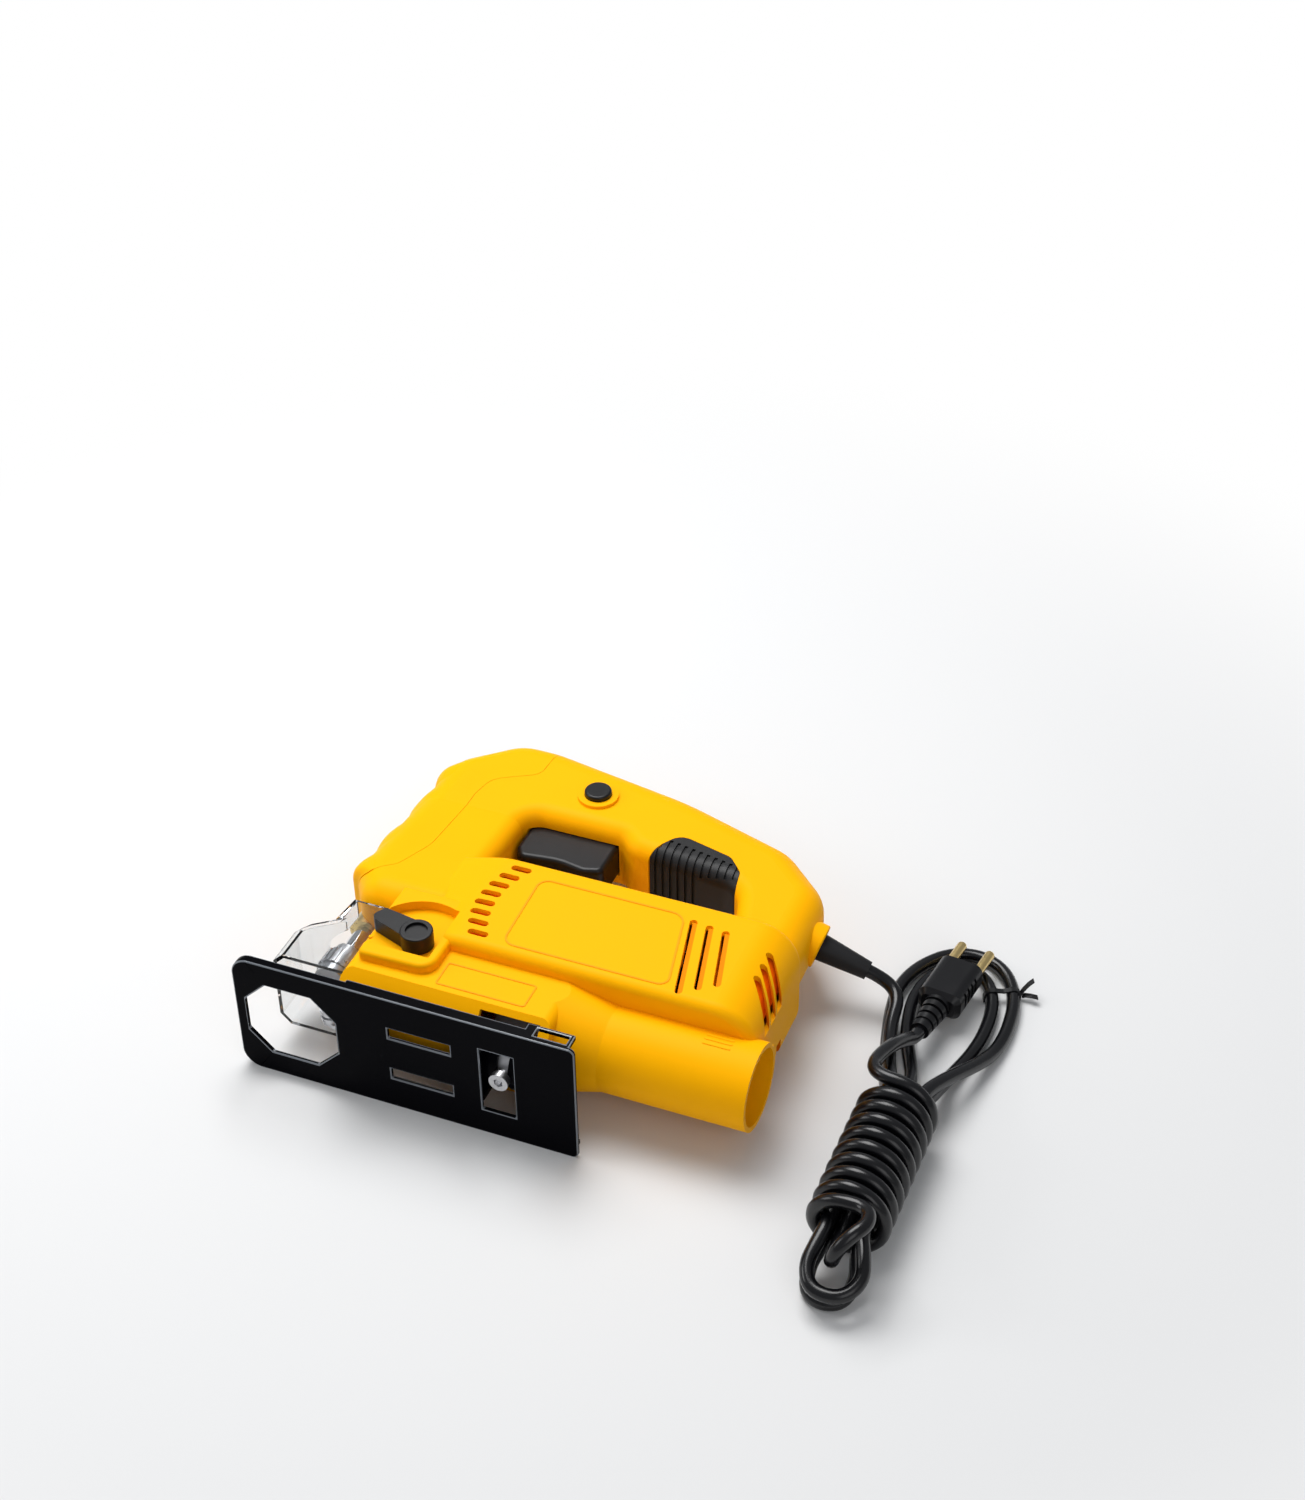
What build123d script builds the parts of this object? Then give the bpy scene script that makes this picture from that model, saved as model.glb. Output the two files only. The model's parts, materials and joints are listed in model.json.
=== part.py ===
from build123d import *
import math
import os

# Jigsaw lying on its right flank. X runs from the shoe's front edge to the rear, Y from the sole
# to the handle, Z across the tool from the seam of the two housing halves. Millimetres.
half_width = 32.0        # seam to the motor flank, and to the shoe's long edges
handle_top = 211.6       # sole to the highest line of the handle
tube_end = 234.0         # shoe's front edge to the mouth of the dust tube
wall = 2.4               # moulded wall of the housing
grip_depth = 2.5         # soft grip laid over the housing
parting = 0.25           # line between the housing and the grip or the insert laid in it
slip = 0.3               # gap beside a part that slides or is dropped in
run = 0.05               # radial gap of a shaft in its hole

# Handle
handle_half = 18.5
handle_round = 14.0
handle_corner = 24.0     # round of the handle's front top corner
opening_round = 8.0
handle_front = 17.0
handle_rear = 226.0
handle_drop = 36.7       # the front top corner starts this far below the top
bar_trigger_low = 158.0  # underside of the handle bar above the trigger
bar_front_low = 150.5    # underside of the bar behind the trigger
bar_rear_low = 143.0
opening_front = 72.0
opening_rear = 190.0

# Front post and nose
post_half = 29.0
post_top = 150.0
post_round = 12.0
nose_low = 66.0
nose_front = 86.0
nose_back = 13.0         # the nose runs back this far below its front

# Motor housing
motor_front = 64.0
motor_rear = 229.0
motor_low = 46.0
motor_high = 109.0
motor_corner = 20.0
motor_edge = 4.5
flare_half = 26.0        # half width where the motor housing starts to flare
flare_end = 85.0

# Lower case and dust tube
case_front = 45.0
case_rear = 146.0
case_half = 25.0
case_low = 8.0
case_chamfer = 13.0
tube_radius = 20.0
tube_bore = 17.6
duct_radius = tube_bore - 0.6
tube_y = 39.0
tube_start = 166.0       # the throat runs into the plain tube here
throat_start = 138.0
throat_radius = 27.0

# Pendulum lever and its pocket
lever_x = 70.0
lever_y = 44.0
lever_hub = 7.5
lever_shaft = 4.0
lever_reach = 22.0
lever_height = 8.5
boss_half = 30.0
pocket_depth = 4.8
pocket_radius = 24.0

# Motor
motor_y = (motor_low + motor_high) / 2
shaft_radius = 4.0
bearing_radius = 11.0
bearing_width = 7.0
motor_air = 2.1          # between the stator and the nearest wall of the motor housing
stator_radius = min(half_width, (motor_high - motor_low) / 2) - wall - motor_air
stator_bore = 18.3
stator_front = 130.0
stator_length = 40.0
coil_length = 8.0
coil_radius = stator_radius - 2.0
coil_bore = stator_bore + 1.0
duct_end = stator_front + stator_length + coil_length + wall + 1  # ahead of this the dust way is low
armature_radius = 17.5
slot_count = 12
commutator_radius = 11.0
commutator_front = 180.0
commutator_length = 12.0
fan_front = 97.0
fan_radius = stator_radius - 1.5
blade_count = 11
rear_bearing_front = 198.0

# Gear and plunger
gear_module = 0.7
pinion_teeth = 9
gear_teeth = 54
gear_front = 54.0
gear_width = 9.0
gear_y = motor_y + gear_module * (pinion_teeth + gear_teeth) / 2
axle_radius = 4.0
stroke = 20.0
crank_radius = 3.5
plunger_x = 30.0
plunger_radius = 4.5
bush_radius = 7.5
upper_bush_low = 128.0
upper_bush_length = 14.0
lower_bush_length = 12.0
plunger_low = 44.0
plunger_high = 150.0
yoke_rear = 45.0
yoke_half = 15.5
yoke_height = 16.0
frame_front = 70.0
frame_width = 10.0
frame_half = 19.0
frame_high = 105.0
frame_low = 62.0
clamp_radius = 7.0
clamp_length = 18.4
collar_radius = 9.0
collar_length = 9.0
clamp_flange = 4.0

# Shoe and its tilt
shoe_length = 165.0
shoe_plate = 2.0
rim_height = 6.0
rim_front_height = 4.5
bridge_height = 9.6
cut_front = 5.0
cut_rear = 50.0
cut_half = 20.0
cut_chamfer = 11.0
tilt_y = 19.0            # height of the tilt axis above the sole
foot_radius = 12.3
cradle_radius = 12.6
foot_front = 115.0
foot_length = 25.5
tilt_screw_x = 128.0
tilt_screw_radius = 2.5
tilt_head_radius = 4.5
tilt_range = 45.0

# Clear guard
guard_front = 9.0
guard_half = 21.0
guard_low = 20.2
guard_wall = 1.8
guard_notch = 10.5       # cut round the plunger and its clamp

# Trigger, switch, button
trigger_front = 73.5
trigger_rear = 119.0
trigger_half = 9.0
trigger_low = 135.0
trigger_travel = 6.0
switch_half = 11.0
switch_low = 172.0
switch_high = 192.0
switch_front = 86.0
switch_rear = 126.0
button_x = 100.0
button_y = 179.0
button_radius = 6.6
button_travel = 3.0
button_proud = 2.6

# Housing screws, entered from the right
screw_spots = [(76, 190), (152, 178), (206, 160), (114.5, 53), (114.5, 102), (216, 68), (54, 56), (100, 26)]
screw_radius = 1.9
screw_head_radius = 3.6
screw_head = 2.6
screw_seat = 8.0
screw_grip = 12.0
boss_wall = 2.0

# Pendulum guide
pivot_x = 57.0
pivot_y = 29.0
pivot_radius = 2.5
arm_half = 5.3
arm_room = 6.0           # seam to the bosses beside the arm
arm_pin_half = 14.0
arm_window_high = 30.0
roller_x = 40.0
roller_y = 15.0
roller_radius = 5.5
roller_half = 3.0
roller_pin_radius = 1.5
cam_width = 10.0
cam_radius = 5.5
cam_throw = 1.2

# Small features
scallop_count = 2        # whole scallops; two more run out at the ends
scallop_pitch = 32.5
scallop_high = handle_top - 45.6
scallop_low = scallop_high - scallop_count * scallop_pitch
scallop_top = 20.0       # length of the scallop that runs out at the handle's corner
scallop_foot = 24.0      # length of the one that runs out at the nose
scallop_rise = 2.6
scallop_sink = 0.4       # valleys and flanks of the scallops end this far inside the grip
vent_width = 3.5
vent_pitch = 6.7
vent_groove = 1.5        # depth of the long rear grooves, open along a narrow slit
vent_slit = 1.2
fan_vents = 8
fan_vent_length = 6.4
rear_vents = 3
rib_pitch = 4.0
rib_groove = 1.6
rib_depth = 0.9
rib_count = 12
rib_lift = 3.0
rib_reach = 11.5
rib_fall = 0.75
collar_height = 1.6
knurl_count = 18
tooth_slack = 0.05
brush_wide = 3.0
brush_thick = 2.5
holder_end = half_width - wall - 2.6  # seam to the outer end of a brush holder
cradle_angle = 62.0
bridge_front = 140.0
guide_width = 15.0       # window for an edge guide
guide_height = 5.0

# Cord, hank and plug
cord_radius = 3.2
floor_z = -half_width
sleeve_y = 137.0
sleeve_root = handle_rear - 6
sleeve_droop = 17.0
sleeve_length = 33.0
sleeve_neck = 10.0
sleeve_radius = 6.3
sleeve_tip_radius = 4.4
hood_radius = sleeve_radius + 1.8
hood_end = handle_rear - sleeve_root + 2.8
hood_depth = 4.0
hank_x = 290.0
hank_y = 26.0
waist = 37.0             # half length of the wrapped waist
waist_high = 18.0        # floor to the middle of the waist
strand_u = 6.9
strand_h = 3.45
wrap_turns = 9
wrap_pitch = 8.2
wrap_radius = 14.8
plug_length = 28.0
plug_half_wide = 10.5
plug_half_thick = 7.0
plug_relief = 20.0
pin_radius = 2.4
pin_length = 19.0
pin_spread = 7.0
tie_u = 19.3
tie_v = 138.0
tie_turn = 50.0
tie_room = 12.4
tie_wall = 1.0


def outline(corners):
    points = [(x, y) for x, y, _ in corners]
    return make_face(FilletPolyline(*points, radius=[r for _, _, r in corners], close=True))


def polygon(points):
    return make_face(Polyline(*points, close=True))


def along_x(x0, x1, radius, y=0.0, z=0.0):
    return Pos((x0 + x1) / 2, y, z) * Rot(0, 90, 0) * Cylinder(radius, x1 - x0)


def along_y(y0, y1, radius, x=0.0, z=0.0):
    return Pos(x, (y0 + y1) / 2, z) * Rot(90, 0, 0) * Cylinder(radius, y1 - y0)


def along_z(z0, z1, radius, x=0.0, y=0.0):
    return Pos(x, y, (z0 + z1) / 2) * Cylinder(radius, z1 - z0)


def block(x0, x1, y0, y1, z0, z1):
    return Pos((x0 + x1) / 2, (y0 + y1) / 2, (z0 + z1) / 2) * Box(x1 - x0, y1 - y0, z1 - z0)


def both_sides(x0, x1, y0, y1, z0, z1):
    return block(x0, x1, y0, y1, z0, z1) + block(x0, x1, y0, y1, -z1, -z0)


# D handle: a rounded slab with the finger opening through it
def handle_ring(inset):
    rim = outline([
        (handle_front, nose_front + 14, 16), (handle_front, handle_top - 26, handle_corner),
        (handle_front + 29, handle_top, 24), (handle_front + 50, handle_top, 60),
        (handle_front + 125, handle_top - 14, 160), (handle_rear - 26, handle_top - 33, 30),
        (handle_rear, handle_top - 58, 22), (handle_rear, motor_low + 14, 16),
        (opening_front, motor_low + 14, 16),
    ])
    gap = outline([
        (opening_front + 2, motor_high - 8, 2), (opening_front - 1, bar_trigger_low, 10),
        (trigger_rear + 2, bar_trigger_low, 6), (trigger_rear + 10, bar_front_low, 14),
        (opening_rear - 4, bar_rear_low, 14), (opening_rear + 7, motor_high - 8, 2),
    ])
    ring = extrude(offset(rim, -inset) - offset(gap, inset), handle_half - inset, both=True)
    for pick in (0, -1):
        ring = fillet(ring.faces().sort_by(Axis.Z)[pick].outer_wire().edges(), handle_round - inset)
    for pick in (0, -1):
        ring = fillet(ring.faces().sort_by(Axis.Z)[pick].inner_wires()[0].edges(), opening_round - inset)
    return ring


# Front post: its flanks lean in from the nose to the handle
def front_post(inset):
    lean = Plane.YZ * polygon([
        (nose_low, -post_half), (post_top, -handle_half), (post_top, handle_half), (nose_low, post_half)])
    side = polygon([
        (handle_front, nose_front), (handle_front + nose_back, nose_low), (opening_front + 2, nose_low),
        (opening_front, post_top), (handle_front, post_top)])
    sharp = Kind.INTERSECTION
    slab = extrude(offset(side, -inset, kind=sharp), post_half + 1, both=True)
    post = extrude(offset(lean, -inset, kind=sharp), tube_end) & slab
    top = post_top - wall - grip_depth - 1
    front = [
        e for e in post.edges()
        if e.center().X < motor_front and e.center().Y < top
        and (abs(e.center().Z) > handle_half / 2 or e.center().Y < nose_front + wall + grip_depth)
    ]
    post = fillet(front, post_round - inset)
    rear = [
        e for e in post.edges()
        if e.center().X > opening_front - 2 * wall and abs(e.center().Z) > handle_half / 2
        and nose_front < e.center().Y < top
    ]
    return fillet(rear, opening_round - inset)


# Motor housing: flat flanks, flared at the front and rounded at the rear
def motor_body(inset):
    plan = Plane.XZ * outline([
        (motor_front, -flare_half, 0), (flare_end, -half_width, 40), (motor_rear, -half_width, motor_corner),
        (motor_rear, half_width, motor_corner), (flare_end, half_width, 40), (motor_front, flare_half, 0),
    ])
    body = extrude(offset(plan, -inset, kind=Kind.INTERSECTION), motor_high - motor_low - 2 * inset)
    body = Pos(0, motor_high - inset, 0) * body
    for pick in (0, -1):
        body = fillet(body.faces().sort_by(Axis.Y)[pick].edges(), motor_edge - inset)
    return body


# Lower case: tapered below so that the shoe can swing past it
def lower_case(inset):
    half = case_half - inset
    body = block(case_front + inset, case_rear - inset, case_low + inset, nose_low + 8, -half, half)
    low = body.edges().filter_by(Axis.X).group_by(Axis.Y)[0]
    body = chamfer(low, case_chamfer - inset * (2 - math.sqrt(2)))
    rear = body.edges().filter_by(Axis.Y).group_by(Axis.X)
    return fillet(rear[0] + rear[-1], 5 - inset)


# Throat from the lower case into the round dust tube
def tube_body():
    length = tube_start - throat_start
    throat = Rot(0, 90, 0) * Cone(throat_radius, tube_radius, length)
    throat = Pos((throat_start + tube_start) / 2, tube_y, 0) * throat
    throat = throat & block(throat_start, tube_start, case_low + 2, motor_low + 8, -case_half, case_half)
    return throat + along_x(tube_start - 1, tube_end, tube_radius, tube_y)


def tube_hollow():
    low = along_x(throat_start, duct_end + 1, duct_radius, tube_y)
    low = low & block(throat_start, duct_end + 1, 0, motor_low - wall, -tube_bore, tube_bore)
    return [low, along_x(duct_end, tube_end + 1, tube_bore, tube_y)]


def grip_zone(margin):
    zone = outline([
        (-20, handle_top + 20, 0), (handle_front + 52, handle_top + 20, 0), (handle_front + 50, 185, 8),
        (handle_front + 29, 173, 12), (handle_front + 26.5, 160, 12), (handle_front + 26.5, 112, 20),
        (handle_front + 20, nose_front + 5, 10), (handle_front + 9, nose_front - 5, 4),
        (-20, nose_front - 8, 0)])
    return extrude(offset(zone, margin), half_width, both=True)


def insert_zone(margin):
    zone = outline([
        (135, motor_high + 12, 2), (136, bar_front_low - 4, 6), (148, 166, 8), (176, 159, 8),
        (184, 150, 6), (opening_rear - 4, motor_high + 12, 2)])
    return extrude(offset(zone, margin), half_width, both=True)


def grip_section(y, swell):
    share = min(1.0, (y - nose_low) / (post_top - nose_low))
    half = post_half + (handle_half - post_half) * share - 2 * scallop_sink
    corner = post_round + (handle_round - post_round) * share - 2 * scallop_sink
    lean = max(0.0, nose_front - y) * nose_back / (nose_front - nose_low)
    above = max(0.0, y - (handle_top - handle_drop))
    lean = lean + handle_corner - math.sqrt(handle_corner ** 2 - above ** 2)
    front = handle_front + lean + scallop_sink - swell * (scallop_rise + scallop_sink)
    deep = 3 * post_round
    level = Plane((front + deep / 2, y, 0), x_dir=(1, 0, 0), z_dir=(0, 1, 0))
    return level * RectangleRounded(deep, 2 * half, corner)


# One finger scallop; the first and the last run out gently at their far ends
def scallop(valley, length, runs_out):
    steps = 8
    places = []
    for i in range(steps + 1):
        swell = math.sin(math.pi * i / steps)
        if runs_out and 2 * i > steps:
            swell = (1 - math.cos(2 * math.pi * i / steps)) / 2
        places.append((valley + length * i / steps, swell))
    return loft([grip_section(y, swell) for y, swell in sorted(places)])


# The scallops stand proud of the front grip and fade out on the flanks
def scallops():
    whole = [scallop(scallop_low + scallop_pitch * i + parting, scallop_pitch - 2 * parting, False)
             for i in range(scallop_count)]
    return whole + [scallop(scallop_high + parting, scallop_top, True),
                    scallop(scallop_low - parting, -scallop_foot, True)]


def housing_bosses(low, high, radius):
    return [along_z(low, high, radius, x, y) for x, y in screw_spots]


def vent_slot(x0, y0, x1, y1, width):
    length = math.hypot(x1 - x0, y1 - y0) + width
    angle = math.degrees(math.atan2(y1 - y0, x1 - x0))
    return Pos((x0 + x1) / 2, (y0 + y1) / 2, 0) * Rot(0, 0, angle) * SlotOverall(length, width)


def flank_cut(slots, low, high):
    bars = extrude(Sketch() + slots, half_width + 1, both=True)
    return bars & both_sides(0, tube_end, 0, handle_top, low, high)


# Cooling slots on both flanks: short ones by the fan, long ones by the brushes and round the rear corners
def vents():
    fan_slots, grooves, slits, corners = [], [], [], []
    for i in range(fan_vents):
        y = motor_low + 8 + i * vent_pitch
        x = fan_front - 11 + (y - motor_y) ** 2 / 90
        fan_slots.append(vent_slot(x, y, x + fan_vent_length, y, vent_width))
    for i in range(rear_vents):
        x0, y0 = commutator_front + 2 + i * 8, motor_high - 14 - i
        x1, y1 = x0 + 10 - i, motor_low + 5 + i * 5
        grooves.append(vent_slot(x0, y0, x1, y1, vent_width))
        aside = (vent_width - vent_slit) / 2 - run
        slits.append(vent_slot(x0 - aside, y0, x1 - aside, y1, vent_slit))
        y = motor_y - 4 + i * 8
        corners.append(vent_slot(motor_rear - 9, y, motor_rear + 4, y - 17, vent_width))
    return [
        flank_cut(fan_slots, half_width - 9, half_width + 1),
        flank_cut(slits, half_width - 9, half_width + 1),
        flank_cut(grooves, half_width - vent_groove, half_width + 1),
        flank_cut(corners, motor_corner / 2, half_width),
    ]


# Seats, ribs and blocks moulded inside the two halves
def inner_ribs():
    across = half_width - 1
    ribs = []
    for x in (stator_front + 4, stator_front + stator_length - 8):
        ribs.append(block(x, x + 4, motor_low + 1, motor_high - 1, -across, across)
                    - along_x(x - 1, x + 5, stator_radius + run, motor_y))
    seat = rear_bearing_front
    ribs.append(block(seat - 1, seat + bearing_width + 1, motor_low + 1, motor_high - 1, -across, across)
                - along_x(seat, seat + bearing_width, bearing_radius + run, motor_y)
                - along_x(seat - 2, seat + bearing_width + 2, bearing_radius - 2, motor_y))
    ribs.append(both_sides(frame_front + 2, frame_front + frame_width - 2, frame_low + 6, frame_high - 6,
                           frame_half + run, across))
    for low, length in ((upper_bush_low, upper_bush_length), (nose_low, lower_bush_length)):
        ribs.append(block(handle_front + 2, plunger_x + 12, low, low + length, -12, 12))
    for x in (switch_front + 1, switch_rear - 7):
        ribs.append(both_sides(x, x + 4, switch_low + 2, switch_high - 2, switch_half + run, handle_half - 1))
    ribs.append(both_sides(commutator_front, commutator_front + commutator_length, motor_y - 7, motor_y + 7,
                           holder_end + run, across))
    ribs.append(block(sleeve_root - 12, handle_rear - 1, sleeve_y - 13, sleeve_y + 13, -14, 14))
    for low, high in ((arm_room, case_half), (-case_half, -arm_room)):
        ribs.append(along_z(low, high, pivot_radius + 2.5, pivot_x, pivot_y))
    return ribs


def sleeve_frame():
    return Pos(sleeve_root, sleeve_y, 0) * Rot(0, 90 + sleeve_droop, 0)


def sleeve_solid(gap, reach):
    flange = Pos(0, 0, -6) * Cylinder(sleeve_radius + 3 + gap, 4 + 2 * gap)
    neck = Pos(0, 0, (reach - 6) / 2) * Cylinder(sleeve_radius + gap, reach + 6)
    return sleeve_frame() * (flange + neck)


# Collar moulded on the handle, standing clear of the cord sleeve
def cord_hood():
    collar = Pos(0, 0, hood_end / 2) * Cylinder(hood_radius + wall, hood_end)
    return sleeve_frame() * fillet(collar.edges().group_by(Axis.Z)[-1], wall / 3)


def hood_mouth():
    return sleeve_frame() * Pos(0, 0, hood_end) * Cylinder(hood_radius, 2 * hood_depth)


def lever_boss():
    lobe = outline([(case_front + 4, 26, 3), (lever_x + 15, 27, 8), (lever_x + 15, nose_low + 8, 0),
                    (case_front + 4, nose_low + 8, 0)])
    boss = Pos(0, 0, case_half - 3) * extrude(lobe, boss_half - case_half + 3)
    boss = fillet(boss.edges().group_by(Axis.Z)[-1], 2)
    pocket = along_z(boss_half - pocket_depth, half_width + 2, pocket_radius, lever_x, lever_y)
    return boss - (pocket & block(0, lever_x + 11, lever_y - 11, handle_top, 0, half_width + 2)), pocket


def housing_halves():
    full_handle = handle_ring(0) + front_post(0)
    core = handle_ring(grip_depth) + front_post(grip_depth)
    outer = full_handle + motor_body(0) + lower_case(0) + tube_body() + cord_hood()
    outer = outer - (grip_zone(0) + insert_zone(0) - core)
    hollow = handle_ring(wall) + front_post(wall) - grip_zone(wall) - insert_zone(wall)
    deep = wall + grip_depth
    hollow = hollow + handle_ring(deep) + front_post(deep)
    hollow = hollow + motor_body(wall) - along_x(duct_end - wall, motor_rear, tube_radius, tube_y)
    hollow = hollow + lower_case(wall)
    shell = outer - hollow
    shell = shell + [rib & outer for rib in inner_ribs()]
    cuts = tube_hollow() + vents() + [
        sleeve_solid(slip, sleeve_length), hood_mouth(),
        block(trigger_front - slip, trigger_rear + slip, bar_trigger_low - 14, bar_trigger_low + wall + 1,
              -trigger_half - slip, trigger_half + slip),
        along_y(nose_low - 8, nose_low + lower_bush_length + 1, bush_radius + run, plunger_x),
        along_y(nose_low, nose_front, plunger_radius + slip, plunger_x),
        along_y(upper_bush_low - 1, upper_bush_low + upper_bush_length + 1, bush_radius + run, plunger_x),
        block(case_front - 1, case_front + wall + 1, case_low + 1.5, arm_window_high,
              -arm_room - 1, arm_room + 1),
        block(foot_front - 2.5, foot_front + foot_length + 0.5, 0, tilt_y + 6.5,
              wall - case_half, case_half - wall),
        along_z(-arm_pin_half - slip, arm_pin_half + slip, pivot_radius + run, pivot_x, pivot_y),
    ]
    shell = shell - cuts
    boss_radius = screw_head_radius + slip + boss_wall
    right = shell & block(-50, 300, -50, 300, -60, 0)
    right = right + [rod & outer for rod in housing_bosses(-half_width, 0, boss_radius)]
    right = right - housing_bosses(-half_width - 1, -screw_seat, screw_head_radius + slip)
    right = right - housing_bosses(-screw_seat - 1, 1, screw_radius + slip)
    left = shell & block(-50, 300, -50, 300, 0, 60)
    left = left + [rod & outer for rod in housing_bosses(0, half_width - wall, screw_radius + boss_wall)]
    left = left - housing_bosses(-1, screw_grip + 1, screw_radius + run)
    boss, pocket = lever_boss()
    left = left + boss - (pocket & block(0, lever_x + 11, lever_y - 11, handle_top, 0, half_width + 2))
    left = left + along_z(handle_half - 2, handle_half + collar_height, button_radius + 3.4,
                          button_x, button_y)
    left = left - along_z(0, half_width, button_radius + slip / 2, button_x, button_y)
    left = left - along_z(0, half_width, lever_shaft + run, lever_x, lever_y)
    grip = ((full_handle + scallops()) & grip_zone(-parting)) - core
    return left, right, grip


def handle_insert():
    insert = (handle_ring(0) & insert_zone(-parting)) - handle_ring(grip_depth)
    first = trigger_rear + 18
    grooves = []
    for i in range(rib_count):
        x = first + i * rib_pitch
        high = bar_front_low + rib_reach - i * rib_fall
        grooves.append(block(x, x + rib_groove, bar_rear_low + rib_lift, high, -half_width, half_width))
    skin = handle_ring(0) - handle_ring(rib_depth)
    return insert - (skin & (Part() + grooves))


def housing_screws():
    screws = []
    for x, y in screw_spots:
        shank = along_z(-screw_seat, screw_grip, screw_radius, x, y)
        head = along_z(-screw_seat - screw_head, -screw_seat, screw_head_radius, x, y)
        drive = Pos(x, y, -screw_seat - screw_head) * (Box(4.4, 1, 3) + Box(1, 4.4, 3))
        screws.append(shank + head - drive)
    return Compound(children=screws)


def trigger():
    face = outline([
        (trigger_front, bar_trigger_low + 2, 0), (trigger_rear, bar_trigger_low + 2, 0),
        (trigger_rear, trigger_low + 3, 4), (trigger_rear - 9, trigger_low, 9),
        ((trigger_front + trigger_rear) / 2, trigger_low + 2.5, 30), (trigger_front + 4, trigger_low, 4),
        (trigger_front, trigger_low + 6, 4)])
    finger = extrude(face, trigger_half, both=True)
    rim = [e for f in (finger.faces().sort_by(Axis.Z)[0], finger.faces().sort_by(Axis.Z)[-1])
           for e in f.edges() if e.center().Y < bar_trigger_low]
    finger = fillet(rim, 2.5)
    top = bar_trigger_low + wall + slip
    flange = block(trigger_front + 6, trigger_rear - 6, top, top + 2, -trigger_half - 2.5, trigger_half + 2.5)
    reach = switch_low - trigger_travel - slip
    stem = block(trigger_front + 10, trigger_rear - 10, bar_trigger_low, reach, -5, 5)
    neck = block(trigger_front + 6, trigger_rear - 6, bar_trigger_low, top + 1, -trigger_half, trigger_half)
    return finger + neck + flange + stem


def switch():
    body = block(switch_front, switch_rear, switch_low, switch_high, -switch_half, switch_half)
    return fillet(body.edges().filter_by(Axis.Z), 2)


def lock_button():
    face = handle_half + collar_height + button_proud
    inner = switch_half + slip + button_travel
    cap = along_z(inner, face, button_radius, button_x, button_y)
    cap = fillet(cap.edges().group_by(Axis.Z)[-1], 1.2)
    return cap + along_z(inner, handle_half - wall - slip, button_radius + 1.5, button_x, button_y)


def pendulum_lever():
    base = boss_half - pocket_depth + slip
    top = base + lever_height
    hub = along_z(base, top, lever_hub, lever_x, lever_y)
    tip = (lever_x - lever_reach, lever_y + 5)
    arm = outline([
        (lever_x + 2, lever_y + 6, 2), (tip[0] + 2, tip[1] + 4.5, 3.5), (tip[0] - 2, tip[1] - 3, 3),
        (lever_x, lever_y - 6.5, 2)])
    arm = Pos(0, 0, base) * extrude(arm, top - base - 0.8)
    knob = hub + arm
    knob = fillet(knob.faces().sort_by(Axis.Z)[-1].edges(), 0.7)
    knob = knob - along_z(top - 1.4, top + 1, lever_hub - 2.4, lever_x, lever_y)
    return knob - along_z(base - 1, base + 4, lever_shaft, lever_x, lever_y)


def lever_cam():
    base = boss_half - pocket_depth + slip
    rod = along_z(cam_width / 2, base + 4, lever_shaft, lever_x, lever_y)
    return rod + along_z(-cam_width / 2, cam_width / 2, cam_radius, lever_x + cam_throw, lever_y)


def gear_face(teeth, slack):
    pitch_radius = gear_module * teeth / 2
    tip = pitch_radius + 0.75 * gear_module
    root = pitch_radius - 1.05 * gear_module
    step = 2 * math.pi / teeth
    points = []
    for i in range(teeth):
        for radius, turn in ((root, -0.30), (pitch_radius, -0.25 + slack), (tip, -0.11), (tip, 0.11),
                             (pitch_radius, 0.25 - slack), (root, 0.30)):
            angle = (i + turn) * step
            points.append((radius * math.cos(angle), radius * math.sin(angle)))
    return polygon(points)


def drive_gear():
    spin = Pos(gear_front, gear_y, 0) * Rot(0, 90, 0)
    wheel = spin * extrude(gear_face(gear_teeth, tooth_slack), gear_width)
    hub = along_x(gear_front + gear_width, frame_front - slip, axle_radius + 4, gear_y)
    wheel = wheel + hub - along_x(gear_front - 1, frame_front, axle_radius + run, gear_y)
    return wheel - along_x(gear_front - 1, gear_front + 5, crank_radius, gear_y, stroke / 2)


def crank_pin():
    return along_x(yoke_rear + slip, gear_front + 5, crank_radius, gear_y, stroke / 2)


def armature_shaft():
    mesh_turn = 90 % (360 / pinion_teeth)
    spin = Pos(gear_front - 1, motor_y, 0) * Rot(mesh_turn, 0, 0) * Rot(0, 90, 0)
    pinion = spin * extrude(gear_face(pinion_teeth, tooth_slack), gear_width + 4)
    end = rear_bearing_front + bearing_width + 1
    journal = along_x(gear_front + gear_width + 3, end, shaft_radius, motor_y)
    return pinion + journal


def armature_core():
    front = stator_front + 1
    core = along_x(front, front + stator_length - 2, armature_radius, motor_y)
    core = core - along_x(front - 1, front + stator_length, shaft_radius, motor_y)
    slots = []
    for i in range(slot_count):
        turn = Pos(0, motor_y, 0) * Rot(i * 360 / slot_count, 0, 0)
        slots.append(turn * block(front - 1, front + stator_length,
                                  armature_radius - 7, armature_radius + 1, -1.2, 1.2))
    return core - slots


def armature_winding():
    front = stator_front + 1
    rear = front + stator_length - 2
    rings = []
    for x0, x1 in ((front - coil_length, front), (rear, rear + coil_length)):
        ring = along_x(x0, x1, armature_radius - 3, motor_y) - along_x(x0 - 1, x1 + 1, shaft_radius, motor_y)
        rings.append(ring)
    return Compound(children=rings)


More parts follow.
